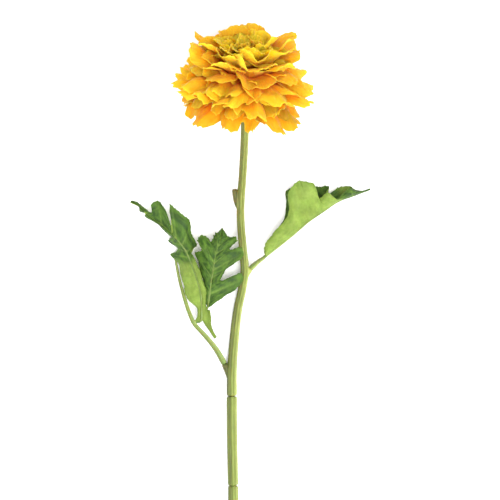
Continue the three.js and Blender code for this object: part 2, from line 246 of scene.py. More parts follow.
def grown(name, tree, numbers, finish, start=None):
    """Runs a tree with these inputs and returns its result as a plain mesh object at the origin."""
    seed = start or bpy.data.objects.new(name + "_seed", bpy.data.meshes.new(name + "_seed"))
    if seed.name not in bpy.context.scene.collection.objects:
        bpy.context.scene.collection.objects.link(seed)
    modifier = seed.modifiers.new("shape", "NODES")
    modifier.node_group = tree
    ids = {item.name: item.identifier for item in tree.interface.items_tree if item.in_out == "INPUT"}
    for label, value in numbers.items():
        modifier[ids[label]] = float(value)
    modifier[ids["Finish"]] = finish
    bpy.context.view_layer.update()
    depsgraph = bpy.context.evaluated_depsgraph_get()
    mesh = bpy.data.meshes.new_from_object(seed.evaluated_get(depsgraph), depsgraph=depsgraph)
    bpy.data.objects.remove(seed)
    mesh.name = name
    piece = bpy.data.objects.new(name, mesh)
    bpy.context.scene.collection.objects.link(piece)
    return piece


def fitted(piece, *nodes, slot):
    """Puts a finished piece on the part in place of its CAD nodes."""
    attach(piece, ROOT)
    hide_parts(*nodes)
    return piece


def joined(name, pieces):
    """One object of several pieces that share a material."""
    whole = bmesh.new()
    for piece in pieces:
        whole.from_mesh(piece.data)
    mesh = pieces[0].data.copy()
    mesh.name = name
    whole.to_mesh(mesh)
    whole.free()
    for piece in pieces:
        bpy.data.objects.remove(piece)
    made = bpy.data.objects.new(name, mesh)
    bpy.context.scene.collection.objects.link(made)
    return made


def jitter(piece, purpose):
    """A steady number from -1 to 1 for a piece and a purpose."""
    n = math.sin(piece * 12.9898 + purpose * 78.233) * 43758.5453
    return 2 * (n - math.floor(n)) - 1


# ---------- Shader groups ----------


def new_shader_group(name, inputs, outputs):
    """A shader group with named number or colour inputs and outputs."""
    group = bpy.data.node_groups.new(name, "ShaderNodeTree")
    for label, value in inputs.items():
        kind = "NodeSocketColor" if isinstance(value, tuple) else "NodeSocketFloat"
        group.interface.new_socket(label, in_out="INPUT", socket_type=kind).default_value = value
    for label, kind in outputs.items():
        group.interface.new_socket(label, in_out="OUTPUT", socket_type=kind)
    entry = group.nodes.new("NodeGroupInput")
    leave = group.nodes.new("NodeGroupOutput")
    return group, entry, leave


def attribute(tree, label):
    read = node(tree, "ShaderNodeAttribute", attribute_type="GEOMETRY", attribute_name=label)
    return Field(tree, read.outputs["Fac"])


def place(tree, scale_x=1.0, scale_y=1.0, scale_z=1.0):
    """Object coordinates in millimetres, squeezed or stretched along each axis."""
    coordinates = node(tree, "ShaderNodeTexCoord").outputs["Object"]
    mapping = node(tree, "ShaderNodeMapping", coordinates)
    mapping.inputs["Scale"].default_value = (scale_x / MM, scale_y / MM, scale_z / MM)
    return mapping.outputs[0]


def noise(tree, at, scale, detail=3.0, roughness=0.55):
    made = node(tree, "ShaderNodeTexNoise", at)
    feed(tree, made.inputs["Scale"], scale)
    made.inputs["Detail"].default_value = detail
    made.inputs["Roughness"].default_value = roughness
    return Field(tree, made.outputs[0])


def mixed(tree, share, first, second, blend="MIX"):
    """The second colour over the first."""
    made = node(tree, "ShaderNodeMix", data_type="RGBA", blend_type=blend)
    feed(tree, made.inputs[0], share)
    feed(tree, made.inputs[6], first)
    feed(tree, made.inputs[7], second)
    return made.outputs[2]


def colour(red, green, blue):
    """A colour given in the usual 0 to 255, as the linear numbers that shaders take."""
    shares = (red / 255, green / 255, blue / 255)
    linear = [c / 12.92 if c <= 0.04045 else ((c + 0.055) / 1.055) ** 2.4 for c in shares]
    return (*linear, 1.0)


def make_mottle():
    """Uneven dye: patches that are a little lighter or darker, two sizes of them."""
    group, entry, leave = new_shader_group(
        "uneven dye",
        {"Colour": (0.5, 0.5, 0.5, 1.0), "Patch per mm": 0.1, "Amount": 0.2},
        {"Colour": "NodeSocketColor", "Mask": "NodeSocketFloat"},
    )
    at = place(group)
    patch = Field(group, entry.outputs["Patch per mm"])
    broad = noise(group, at, patch)
    fine = noise(group, at, patch * 6.0, detail=2.0)
    mask = (broad * 0.7 + fine * 0.3).eased(0.3, 0.7)
    amount = Field(group, entry.outputs["Amount"])
    dark = mixed(group, amount, entry.outputs["Colour"], (0.25, 0.22, 0.15, 1.0), "MULTIPLY")
    feed(group, leave.inputs["Colour"], mixed(group, mask, dark, entry.outputs["Colour"]))
    feed(group, leave.inputs["Mask"], mask)
    return group


def make_weave():
    """The two crossing threads of a fine cloth, as a height and a mask of the gaps between them."""
    group, entry, leave = new_shader_group(
        "fine weave",
        {"Along": 0.0, "Across": 0.0, "Threads": 60.0},
        {"Height": "NodeSocketFloat", "Gaps": "NodeSocketFloat"},
    )
    threads = Field(group, entry.outputs["Threads"]) * math.pi
    warp = (Field(group, entry.outputs["Along"]) * threads).sin()
    weft = (Field(group, entry.outputs["Across"]) * threads).sin()
    feed(group, leave.inputs["Height"], warp * weft * 0.5 + 0.5)
    feed(group, leave.inputs["Gaps"], (1.0 - warp.size()) * (1.0 - weft.size()))
    return group


def make_streaks():
    """Long soft streaks that run the length of a piece, from its own along and across numbers."""
    group, entry, leave = new_shader_group(
        "lengthwise streaks",
        {"Along": 0.0, "Across": 0.0, "Streaks": 12.0, "Stretch": 8.0, "Shift": 0.0},
        {"Streak": "NodeSocketFloat"},
    )
    streaks = Field(group, entry.outputs["Streaks"])
    stretch = Field(group, entry.outputs["Stretch"])
    x = Field(group, entry.outputs["Across"]) * streaks
    y = Field(group, entry.outputs["Along"]) * streaks / stretch
    at = vector(group, x, y, Field(group, entry.outputs["Shift"]))
    feed(group, leave.inputs["Streak"], noise(group, at, 1.0, detail=4.0).eased(0.32, 0.68))
    return group


MOTTLE = make_mottle()
WEAVE = make_weave()
STREAKS = make_streaks()


def use(tree, group, **values):
    """Places a shader group and sets or links its inputs, written with _ for a space."""
    made = node(tree, "ShaderNodeGroup", node_tree=group)
    for label, value in values.items():
        feed(tree, made.inputs[label.replace("_", " ")], value)
    return made.outputs


# ---------- Materials ----------


def new_material(name, roughness, **uniform):
    """A material with its Principled shader, and the shader's uniform values set on its own sockets."""
    material = bpy.data.materials.new(name)
    material.use_nodes = True
    tree = material.node_tree
    shader = tree.nodes["Principled BSDF"]
    shader.inputs["Roughness"].default_value = roughness
    for label, value in uniform.items():
        shader.inputs[label.replace("_", " ")].default_value = value
    return material, tree, shader


def bump(tree, shader, height, depth):
    """Feeds a height field, with its depth in millimetres, to the shader's normal."""
    made = node(tree, "ShaderNodeBump")
    made.inputs["Strength"].default_value = 1.15
    made.inputs["Distance"].default_value = depth * MM
    feed(tree, made.inputs["Height"], height)
    feed(tree, shader.inputs["Normal"], made.outputs[0])


def ramp(tree, value, *stops):
    """A colour that runs through (place, colour) stops."""
    made = node(tree, "ShaderNodeValToRGB", value)
    band = made.color_ramp
    while len(band.elements) < len(stops):
        band.elements.new(0.5)
    for element, (at, paint) in zip(band.elements, stops):
        element.position = at
        element.color = paint
    return made.outputs[0]


def petal_finish(name, stops, inner_tint_and_shade, outer_tint_and_shade, threads=90.0):
    """Dyed cloth: deep at the foot and pale at the frill, with soft pleat lines and a matt weave. The
    tints are for the face towards the heart and the face away from it. Where they darken a face, on the
    shaded golden cloth and on the bright cloth's face towards the heart, they are painted shade. The dark
    foot of the heart florets is partly their own olive and partly painted shade in the gaps between them."""
    material, tree, shader = new_material(
        name,
        0.62,
        Subsurface_Weight=0.7,
        Subsurface_Radius=(1.0, 0.45, 0.08),
        Subsurface_Scale=3.5 * MM,
        Sheen_Weight=0.04,
        Sheen_Roughness=0.5,
        Specular_IOR_Level=0.12,
    )
    along, across = attribute(tree, "along"), attribute(tree, "across")
    streak = Field(tree, use(tree, STREAKS, Along=along, Across=across, Streaks=9.0, Stretch=7.0)["Streak"])
    place_on_petal = along + (streak - 0.5) * 0.16
    dyed_and_shaded = ramp(tree, place_on_petal, *stops)
    # On some finishes the tint darkens a face as painted shade.
    tint_and_shade = mixed(tree, attribute(tree, "back"), inner_tint_and_shade, outer_tint_and_shade)
    dyed_and_shaded = mixed(tree, 1.0, dyed_and_shaded, tint_and_shade, "MULTIPLY")
    mottled_with_painted_light = use(tree, MOTTLE, Colour=dyed_and_shaded, Patch_per_mm=0.12, Amount=0.22)
    feed(tree, shader.inputs["Base Color"], mottled_with_painted_light["Colour"])
    weave = use(tree, WEAVE, Along=along, Across=across, Threads=threads)
    feed(tree, shader.inputs["Roughness"], Field(tree, mottled_with_painted_light["Mask"]) * 0.12 + 0.55)
    bump(tree, shader, Field(tree, weave["Height"]) * 0.25 + streak, 0.22)
    return material


def stem_finish(name, main, light, dark):
    """Moulded plastic with soft lengthwise flutes and painted light. Its "side" runs from -1 on the left
    edge of the stem to 1 on the right: the colour is darker on the left as painted shade and paler on the
    right as a painted highlight."""
    material, tree, shader = new_material(name, 0.45, Specular_IOR_Level=0.3, Subsurface_Weight=0.08)
    fibres = noise(tree, place(tree, 1.2, 0.05, 1.2), 1.0, detail=4.0)
    fine = noise(tree, place(tree, 5.0, 0.3, 5.0), 1.0, detail=2.0)
    side = attribute(tree, "side")
    flutes = (side * 7.5 + fibres * 2.0).sin() * 0.5 + 0.5
    # The side term paints shade on the left of the stem and a highlight on its right.
    paint = side * 0.28 + 0.36 + flutes * 0.2 + (fibres - 0.5) * 0.5 + (fine - 0.5) * 0.15
    tone = ramp(tree, paint, (0.15, dark), (0.5, main), (0.85, light))
    mottled_with_painted_light = use(tree, MOTTLE, Colour=tone, Patch_per_mm=0.06, Amount=0.25)
    feed(tree, shader.inputs["Base Color"], mottled_with_painted_light["Colour"])
    feed(tree, shader.inputs["Roughness"], fine * 0.25 + 0.36)
    bump(tree, shader, flutes * 0.8 + fibres + fine * 0.3, 0.3)
    return material


def leaf_finish(name, top, top_dark, under, vein):
    """Printed cloth: deep green above, pale green below, with pressed veins and a fine weave. The dark
    streaks of the upper face are partly printed tone and partly painted shade in the folds of the blade.
    """
    material, tree, shader = new_material(
        name,
        0.6,
        Subsurface_Weight=0.12,
        Subsurface_Radius=(0.4, 0.8, 0.15),
        Subsurface_Scale=1.5 * MM,
        Specular_IOR_Level=0.2,
    )
    along, across, under_side = (attribute(tree, label) for label in ("along", "across", "under"))
    streaks = use(tree, STREAKS, Along=across, Across=along, Streaks=22.0, Stretch=6.0)
    streak = Field(tree, streaks["Streak"])
    veins = attribute(tree, "vein")
    # The streaks towards top_dark are partly printed tone and partly painted shade in the folds of the blade.
    above = mixed(tree, streak, top_dark, top)
    below = mixed(tree, streak * 0.35, under, top)
    green = mixed(tree, under_side, above, below)
    lined = mixed(tree, veins ** 2.0 * 0.4, green, vein)
    edged = mixed(tree, across.size() ** 6.0 * 0.35, lined, top)
    mottled_with_painted_light = use(tree, MOTTLE, Colour=edged, Patch_per_mm=0.1, Amount=0.4)
    feed(tree, shader.inputs["Base Color"], mottled_with_painted_light["Colour"])
    feed(tree, shader.inputs["Roughness"], streak * 0.12 + 0.52)
    weave = use(tree, WEAVE, Along=along, Across=across, Threads=70.0)
    bump(tree, shader, Field(tree, weave["Height"]) * 0.15 + streak * 0.8, 0.25)
    return material


GOLDEN = [
    (0.0, colour(240, 68, 6)),
    (0.35, colour(248, 110, 10)),
    (0.6, colour(246, 144, 16)),
    (0.8, colour(236, 166, 22)),
    (1.0, colour(224, 178, 38)),
]
# A shaded copy of the golden petal cloth for the lowest petals: both of its tints darken it as painted shade.
SHADED_SKIRT_PETAL = petal_finish(
    "shaded golden petal cloth", GOLDEN, inner_tint_and_shade=colour(202, 208, 195), outer_tint_and_shade=colour(202, 206, 190)
)
OUTER_PETAL = petal_finish(
    "golden petal cloth", GOLDEN, inner_tint_and_shade=colour(252, 248, 240), outer_tint_and_shade=colour(246, 238, 210)
)
# Brighter than the golden cloth, as painted light on petals that the petals above them shade. Its tint for the
# face towards the heart darkens that face as painted shade.
UPPER_PETAL = petal_finish(
    "bright petal cloth",
    [
        (0.0, colour(244, 92, 6)),
        (0.3, colour(252, 142, 14)),
        (0.55, colour(252, 172, 24)),
        (0.8, colour(246, 190, 32)),
        (1.0, colour(240, 202, 48)),
    ],
    inner_tint_and_shade=colour(212, 202, 184),
    outer_tint_and_shade=colour(255, 255, 250),
)
INNER_PETAL = petal_finish(
    "lemon petal cloth",
    [
        (0.0, colour(206, 138, 10)),
        (0.35, colour(236, 186, 22)),
        (0.7, colour(246, 206, 40)),
        (1.0, colour(248, 214, 60)),
    ],
    inner_tint_and_shade=colour(230, 214, 178),
    outer_tint_and_shade=colour(255, 252, 240),
)
# The dark olive foot of the florets is partly their own colour and partly painted shade in the gaps between
# them.
HEART_CLOTH = petal_finish(
    "heart floret cloth",
    [
        (0.0, colour(106, 76, 4)),
        (0.5, colour(176, 126, 10)),
        (1.0, colour(214, 168, 36)),
    ],
    inner_tint_and_shade=colour(235, 235, 210),
    outer_tint_and_shade=colour(255, 255, 255),
    threads=24.0,
)
# Through the side mark, the dark and light colours of these plastics are painted shade on the left of a stem
# and a painted highlight on its right. The fibre noise gives them real tone too.
STEM_PLASTIC = stem_finish(
    "olive stem plastic", colour(106, 120, 50), colour(148, 162, 84), colour(62, 72, 22)
)
STALK_PLASTIC = stem_finish(
    "pale stalk plastic", colour(112, 134, 66), colour(146, 166, 98), colour(74, 98, 38)
)
CALYX_PLASTIC = stem_finish("calyx plastic", colour(92, 114, 44), colour(134, 152, 76), colour(58, 78, 24))
# Its top_dark green is partly print and partly painted shade in the folds of the blades.
LEAF_CLOTH = leaf_finish(
    "printed leaf cloth",
    top=colour(76, 108, 32),
    top_dark=colour(34, 64, 8),
    under=colour(124, 146, 60),
    vein=colour(124, 150, 66),
)

# ---------- Head ----------

HEAD = {"centre": (0.5, 290.5, 42), "tilt": 25 * DEG, "lean": 6 * DEG}
DOME_RADIUS = 12.2
DOME_HEIGHT = -2.0
CALYX_LENGTH = 20.0
PRESS_HEIGHT = 8.0

# How many degrees lower the petals on the flower's left leave the dome than those on its right.
LEFT_DROOP = 5.0

# The petals that are made longer or shorter than the rest of their whorl.
LONGER = {
    "cloth_petal_upright_5": 0.93,
    "cloth_petal_upright_6": 1.08,
    "cloth_petal_upright_7": 1.2,
    "cloth_petal_middle_5": 0.88,
    "cloth_petal_middle_1": 0.92,
    "cloth_petal_middle_8": 0.9,
    "cloth_petal_shoulder_5": 1.12,
    "cloth_petal_shoulder_6": 1.14,
    "cloth_petal_shoulder_8": 0.9,
}

# How many petals and the first one's turn, the root's latitude on the dome, the way a petal starts and
# the way its tip points, its length and width, and then the depth of its pleats, its tip's curl, how
# much its sides cup upwards, the depth of its notches and its finish. The CAD's whorls are a little
# different, because their petals are thicker and smoother.
WHORLS = [
    ("skirt", 8, 0.1, -13, -10, -58, 35, 36, 3.4, 2.0, -1.0, 0.2, SHADED_SKIRT_PETAL),
    ("spread", 8, 0.6, 1, 8, -40, 38.5, 38, 3.8, 3.0, 0.0, 0.2, OUTER_PETAL),
    ("middle", 8, 0.25, 14, 26, -40, 35, 37, 3.8, 2.5, 1.0, 0.16, OUTER_PETAL),
    ("shoulder", 8, 0.8, 26, 54, 2, 33, 33, 3.6, 0.0, 3.5, 0.1, UPPER_PETAL),
    ("upright", 7, 0.4, 38, 64, 24, 30.5, 27, 2.4, -1.0, 4.0, 0.06, UPPER_PETAL),
    ("bowl", 6, 0.1, 50, 70, 40, 26, 26, 1.8, -2.0, 4.0, 0.06, INNER_PETAL),
    ("inner", 4, 0.5, 61, 78, 72, 19, 20, 1.6, -2.0, 3.0, 0.06, INNER_PETAL),
]

# Rings of shorter petals between the whorls, with the same numbers as a whorl.
RUFFLES = [
    ("ruffle_low", 8, 0.35, 8, 2, -62, 31, 30, 3.4, 2.0, -1.0, 0.18, SHADED_SKIRT_PETAL),
    ("ruffle_mid", 7, 0.1, 20, 24, -56, 30, 29, 3.4, 2.0, 0.0, 0.14, OUTER_PETAL),
    ("ruffle_collar", 7, 0.3, 26, 34, -24, 18, 22, 1.6, 1.0, 1.0, 0.06, OUTER_PETAL),
    ("ruffle_high", 7, 0.45, 32, 48, -40, 28, 27, 3.0, 1.0, 2.0, 0.1, UPPER_PETAL),
    ("ruffle_top", 7, 0.3, 44, 68, -6, 24.5, 20, 2.0, -1.0, 3.5, 0.06, INNER_PETAL),
    ("ruffle_heart", 7, 0.7, 58, 76, 52, 20, 14, 1.6, -1.0, 2.5, 0.05, INNER_PETAL),
]


def head_to_frame(tree, mesh, pressed=True):
    """Turns a mesh from the head's own axes, in millimetres, to its place in the frame, in metres."""
    placed = node(tree, "GeometryNodeTransform", mesh)
    placed.inputs["Translation"].default_value = in_frame(HEAD["centre"])
    placed.inputs["Rotation"].default_value = Euler((HEAD["tilt"], 0, -HEAD["lean"]))
    placed.inputs["Scale"].default_value = (MM, MM, MM)
    x, y, z = parts_of(tree, node(tree, "GeometryNodeInputPosition").outputs[0])
    if not pressed:
        return placed.outputs[0]
    return moved_to(tree, placed.outputs[0], x, y, resting_height(z, PRESS_HEIGHT * MM) + 0.4 * MM)


def make_petal_tree():
    """One cloth petal. It leaves the dome along an arc and spreads about the flower's axis. Pleats deepen
    towards its tip, each pleat ends in a notched and curled lobe, and the edge is frilled."""
    tree, entry, f = new_geometry_tree(
        "ruffled petal",
        ["Turn", "Root radius", "Root height", "Start", "Bend", "Length", "Width", "Lobes", "Phase",
         "Pleat", "Notch", "Curl", "Cup", "Sweep", "Crumple", "Shift"],
    )
    sheet, u, v = grid(tree, 36, 43)
    wave = v * f["Lobes"] * math.pi + f["Phase"]
    valley = (0.5 - wave.cos() * 0.5) ** 5.0
    small_teeth = (wave * 3.0).sin().size() * 0.2 * f["Notch"]
    trimmed = v ** 4.0 * 0.2 + v ** 2.0 * 0.06 + valley * f["Notch"] + small_teeth
    s = u * (1.0 - trimmed * u ** 2.0)
    way = f["Start"] + f["Bend"] * s
    radius = f["Root radius"] + f["Length"] / f["Bend"] * (way.sin() - f["Start"].sin())
    height = f["Root height"] + f["Length"] / f["Bend"] * (f["Start"].cos() - way.cos())
    half_width = f["Width"] * 0.5 * (0.3 + 0.7 * s.eased(0.0, 0.7)) * (1.0 - 0.14 * u ** 5.0)
    turn = f["Turn"] + v * (half_width / radius)
    ruffle = wave.cos() * f["Pleat"] * s ** 1.4
    frill = (v * 23.0 + f["Phase"] * 5.0).sin() * 0.5 * s ** 6.0
    cupping = v ** 2.0 * f["Cup"] * s
    off = ruffle + frill + cupping + v * f["Sweep"] * s + f["Curl"] * s ** 4.0
    out = radius - way.sin() * off
    up = height + way.cos() * off
    sheet = moved_to(tree, sheet, out * turn.cos(), up, out * turn.sin())
    x, y, z = parts_of(tree, node(tree, "GeometryNodeInputPosition").outputs[0])
    lump = node(tree, "ShaderNodeTexNoise", vector(tree, x + f["Shift"], y, z))
    lump.inputs["Scale"].default_value = 0.065
    lump.inputs["Detail"].default_value = 2.0
    dx, dy, dz = parts_of(tree, lump.outputs[1])
    amount = f["Crumple"] * u
    sheet = moved_to(
        tree, sheet, x + (dx - 0.5) * amount, y + (dy - 0.5) * amount, z + (dz - 0.5) * amount
    )
    sheet = head_to_frame(tree, sheet)
    return close_tree(tree, entry, thickened(tree, sheet, 0.3 * MM))


PETAL_TREE = make_petal_tree()


def petal_on(name, whorl, i, seed):
    """Petal number i of a whorl."""
    count, first, root, start, end, length, width, pleat, curl, cup, notch, finish = whorl
    dome = DOME_RADIUS + 1.15
    turn = 2 * math.pi * (i + first + 0.12 * jitter(seed, 11)) / count
    start += 6 * jitter(seed, 1) + LEFT_DROOP * math.cos(turn)
    bend = end - start + 14 * jitter(seed, 2)
    numbers = {
        "Turn": turn,
        "Root radius": dome * math.cos(root * DEG),
        "Root height": DOME_HEIGHT + dome * math.sin(root * DEG),
        "Start": start * DEG,
        "Bend": bend * DEG if abs(bend) > 1 else DEG,
        "Length": length * LONGER.get(name, 1 + 0.07 * jitter(seed, 3)),
        "Width": width * 1.12,
        "Lobes": 2.1 + 0.6 * jitter(seed, 4) if root < 26 else 1.2,
        "Phase": math.pi * jitter(seed, 5),
        "Pleat": pleat * (1 + 0.25 * jitter(seed, 6)),
        "Notch": notch * (1 + 0.4 * jitter(seed, 7)),
        "Curl": curl + 2 * jitter(seed, 8),
        "Cup": cup * (1 + 0.5 * jitter(seed, 9)),
        "Sweep": 1.2 + 3 * jitter(seed, 10),
        "Crumple": 9.0,
        "Shift": 37.0 * seed,
    }
    return grown(name, PETAL_TREE, numbers, finish)


def make_petals():
    for w, (label, *whorl) in enumerate(WHORLS):
        slot = "petal_inner" if whorl[-1] is INNER_PETAL else "petal_outer"
        for i in range(whorl[0]):
            name = f"petal_{label}_{i + 1}"
            fitted(petal_on("cloth_" + name, whorl, i, w * 16 + i), name, slot=slot)


def make_ruffles():
    """Shorter cloth rings between the whorls, that fill the head out. Each is one piece."""
    for w, (label, *ring) in enumerate(RUFFLES):
        petals = [petal_on(f"{label}_{i}", ring, i, 200 + w * 16 + i) for i in range(ring[0])]
        piece = joined("cloth_" + label, petals)
        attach(piece, ROOT)


def random_number(tree, low, high, seed):
    made = node(tree, "FunctionNodeRandomValue", data_type="FLOAT")
    made.inputs[2].default_value = low
    made.inputs[3].default_value = high
    made.inputs[8].default_value = seed
    return Field(tree, made.outputs[1])


def make_heart_tree():
    """Small frilled cloth trumpets, set close on a low dome in the spiral that flower seeds make."""
    tree, entry, f = new_geometry_tree("spiral of florets", ["Florets", "Reach", "Foot", "Fall", "Splay"])
    floret, u, v = grid(tree, 9, 33)
    rim = 0.8 + 2.3 * u ** 1.5 + (v * 4.0 * math.pi).sin() * 0.45 * u ** 2.0
    around = v * 0.94 * math.pi
    tall = u * 9.0 - 1.2 * u ** 6.0 + (v * 3.0 * math.pi).cos() * 0.4 * u ** 2.0
    floret = moved_to(tree, floret, rim * around.cos(), rim * around.sin() * 0.7, tall)
    floret = thickened(tree, floret, 0.22)
    count = node(tree, "FunctionNodeFloatToInt", f["Florets"]).outputs[0]
    points = node(tree, "GeometryNodeMeshLine", count).outputs[0]
    share = (Field(tree, node(tree, "GeometryNodeInputIndex").outputs[0]) + 0.5) / f["Florets"]
    turn = share * f["Florets"] * 2.39996
    out = f["Reach"] * share ** 0.5
    points = moved_to(tree, points, out * turn.cos(), f["Foot"] - f["Fall"] * share, out * turn.sin())
    splay = f["Splay"] * share ** 0.5
    way = vector(tree, turn.cos() * splay, 1.0, turn.sin() * splay)
    spin = node(tree, "FunctionNodeAxisAngleToRotation", (0, 0, 1), random_number(tree, 0, 6.28, 4))
    facing = node(tree, "FunctionNodeAlignRotationToVector", spin.outputs[0], 1.0, way, axis="Z")
    size = random_number(tree, 0.85, 1.3, 9)
    spray = node(tree, "GeometryNodeInstanceOnPoints", points)
    feed(tree, spray.inputs["Instance"], floret)
    feed(tree, spray.inputs["Rotation"], facing.outputs[0])
    feed(tree, spray.inputs["Scale"], vector(tree, size, size, size))
    real = node(tree, "GeometryNodeRealizeInstances", spray.outputs[0]).outputs[0]
    return close_tree(tree, entry, head_to_frame(tree, real, pressed=False))


def make_heart():
    numbers = {"Florets": 26, "Reach": 8.5, "Foot": 19, "Fall": 3.5, "Splay": 0.6}
    heart = grown("cloth_heart", make_heart_tree(), numbers, HEART_CLOTH)
    fitted(heart, "heart", slot="heart")


def make_calyx_tree():
    """A turned cup with shallow ribs: a narrow neck on the stem, a full belly and a domed top."""
    tree, entry, f = new_geometry_tree(
        "ribbed cup", ["Neck", "Dome", "Dome height", "Length", "Ribs", "Rib depth"]
    )
    cup, u, v = grid(tree, 60, 97)
    climb = u * (f["Length"] + f["Dome"] + f["Dome height"] + 0.8)
    height = (climb - f["Length"] - 0.8).at_least(f["Length"] * -1.0)
    above_neck = height + f["Length"]
    belly = f["Neck"] + above_neck.eased(0.2, 2.2, 0.0, 1.4) + above_neck.eased(1.5, 12.0, 0.0, 8.2)
    on_dome = (f["Dome"] ** 2.0 - (height - f["Dome height"]) ** 2.0).at_least(0.0) ** 0.5
    rim = belly.at_most(on_dome) * (u * 40.0).at_most(1.0)
    around = v * math.pi
    fading = above_neck.eased(1.0, 6.0) * above_neck.eased(13.0, 17.0, 1.0, 0.0)
    ribs = (around * f["Ribs"]).cos() * f["Rib depth"] * fading
    rim = rim * (1.0 + ribs)
    cup = moved_to(tree, cup, rim * around.cos(), height, rim * around.sin() * -1.0)
    weld = node(tree, "GeometryNodeMergeByDistance", cup)
    weld.inputs["Distance"].default_value = 1e-4
    return close_tree(tree, entry, head_to_frame(tree, weld.outputs[0], pressed=False))


def make_calyx():
    numbers = {
        "Neck": 3.1,
        "Dome": DOME_RADIUS,
        "Dome height": DOME_HEIGHT,
        "Length": CALYX_LENGTH,
        "Ribs": 9,
        "Rib depth": 0.05,
    }
    calyx = grown("moulded_calyx", make_calyx_tree(), numbers, CALYX_PLASTIC)
    fitted(calyx, "calyx", slot="calyx")


make_petals()
make_ruffles()
make_heart()
make_calyx()

# ---------- Stem and stalks ----------

STEM_ROUTE = [
    (-8.2, -61), (-8.3, 0), (-9.1, 41), (-9.3, 72.1), (-9.2, 90), (-8, 108.5), (-5.2, 133), (-2.2, 147),
    (-0.3, 161), (-1.4, 175), (-2.9, 193), (-3.1, 206), (-1.4, 231), (-0.2, 255), (0.1, 272.5),
]
FOOT_RADIUS = 3.8
NECK_RADIUS = 3.0
NECK_DROP = 29.7
LOWER_JOINT = 9.1
UPPER_JOINT = 72.1
GAP = 0.35


def along_curve(points, shares):
    """Points at these shares of a smooth curve, where the given points share it out evenly."""
    points = np.asarray(points, float)
    beyond = 2 * points[[0, -1]] - points[[1, -2]]
    padded = np.vstack([beyond[:1], points, beyond[1:]])
    at = np.clip(np.asarray(shares, float), 0, 1) * (len(points) - 1)
    first = np.minimum(at.astype(int), len(points) - 2)
    f = (at - first)[:, None]
    before, start, end, after = (padded[first + k] for k in range(4))

    def spacing(a, b):
        return np.sqrt(np.linalg.norm(b - a, axis=1))[:, None].clip(1e-4)

    d0, d1, d2 = spacing(before, start), spacing(start, end), spacing(end, after)
    leave = ((start - before) / d0 - (end - before) / (d0 + d1) + (end - start) / d1) * d1
    arrive = ((end - start) / d1 - (after - start) / (d1 + d2) + (after - end) / d2) * d1
    bend = 3 * (end - start) - 2 * leave - arrive
    return start + leave * f + bend * f**2 + (2 * (start - end) + leave + arrive) * f**3


def stem_height(y):
    down = np.clip((HEAD["centre"][1] - CALYX_LENGTH + 2 - y) / 260, 0, 1)
    return FOOT_RADIUS + NECK_DROP * (1 - down) ** 4


STEM_LINE = along_curve([(x, y, stem_height(y)) for x, y in STEM_ROUTE], np.linspace(0, 1, 1500))


def on_stem(y, dx=0, dz=0):
    """The middle of the stem at y, moved sideways and up."""
    x, z = (np.interp(y, STEM_LINE[:, 1], STEM_LINE[:, k]) for k in (0, 2))
    return (x + dx, y, z + dz)


def path_object(name, points):
    """A chain of edges through points, for a tree to run a section along."""
    mesh = bpy.data.meshes.new(name)
    mesh.from_pydata([tuple(p) for p in in_frame(points)], [(i, i + 1) for i in range(len(points) - 1)], [])
    return bpy.data.objects.new(name, mesh)


def make_bar_tree():
    """A ribbed round bar along the edges it is given. Its ends are rounded, and it swells a little here
    and there, as a moulded stem does."""
    tree, entry, f = new_geometry_tree(
        "ribbed bar",
        ["Start radius", "End radius", "Ease from", "Ease to", "Ribs", "Rib depth", "Rounding", "Swell"],
    )
    line = node(tree, "GeometryNodeMeshToCurve", entry.outputs["Geometry"]).outputs[0]
    travelled = Field(tree, node(tree, "GeometryNodeSplineParameter").outputs["Length"])
    whole = Field(tree, node(tree, "GeometryNodeSplineLength").outputs["Length"])
    share = (travelled / whole).eased(f["Ease from"], f["Ease to"])
    radius = f["Start radius"] + (f["End radius"] - f["Start radius"]) * share
    near_end = travelled.at_most(whole - travelled)
    rounding = 1.0 - (1.0 - (near_end / f["Rounding"]).at_most(1.0)) ** 2.0 * 0.22
    place_on_line = node(tree, "GeometryNodeInputPosition").outputs[0]
    swell = Field(tree, node(tree, "ShaderNodeTexNoise", place_on_line).outputs[0])
    swell.socket.node.inputs["Scale"].default_value = 60.0
    size = radius * rounding * (1.0 + (swell - 0.8) * f["Swell"])
    ring = node(tree, "GeometryNodeCurvePrimitiveCircle", 64)
    ring.inputs["Radius"].default_value = 1.0
    turn = Field(tree, node(tree, "GeometryNodeSplineParameter").outputs["Factor"]) * 2 * math.pi
    reach = 1.0 + ((turn * f["Ribs"]).cos() - 1.0) * f["Rib depth"]
    section = moved_to(tree, ring.outputs[0], turn.cos() * reach, turn.sin() * reach, 0.0)
    bar = node(tree, "GeometryNodeCurveToMesh", line, section, size)
    bar.inputs["Fill Caps"].default_value = True
    return close_tree(tree, entry, bar.outputs[0])


BAR_TREE = make_bar_tree()


def bar(
    name, points, radii, finish, ease=(0, 1), ribs=9, depth=0.045, rounding=1.2, swell=0.08, spacing=0.8
):
    """A ribbed bar through points in layout millimetres."""
    coarse = along_curve(points, np.linspace(0, 1, 400))
    length = np.linalg.norm(np.diff(coarse, axis=0), axis=1).sum()
    route = along_curve(points, np.linspace(0, 1, max(8, int(length / spacing))))
    numbers = {
        "Start radius": radii[0] * MM,
        "End radius": radii[1] * MM,
        "Ease from": ease[0],
        "Ease to": ease[1],
        "Ribs": ribs,
        "Rib depth": depth,
        "Rounding": rounding * MM,
        "Swell": swell,
    }
    return grown(name, BAR_TREE, numbers, finish, start=path_object(name + "_route", route))


def stem_section(name, low, high):
    """A length of the stem from y = low to y = high, with the stem's own taper."""
    ys = np.linspace(low, high, 40)
    ease = [(y - low) / (high - low) for y in (60, 200)]
    return bar(name, [on_stem(y) for y in ys], (FOOT_RADIUS, NECK_RADIUS), STEM_PLASTIC, ease)


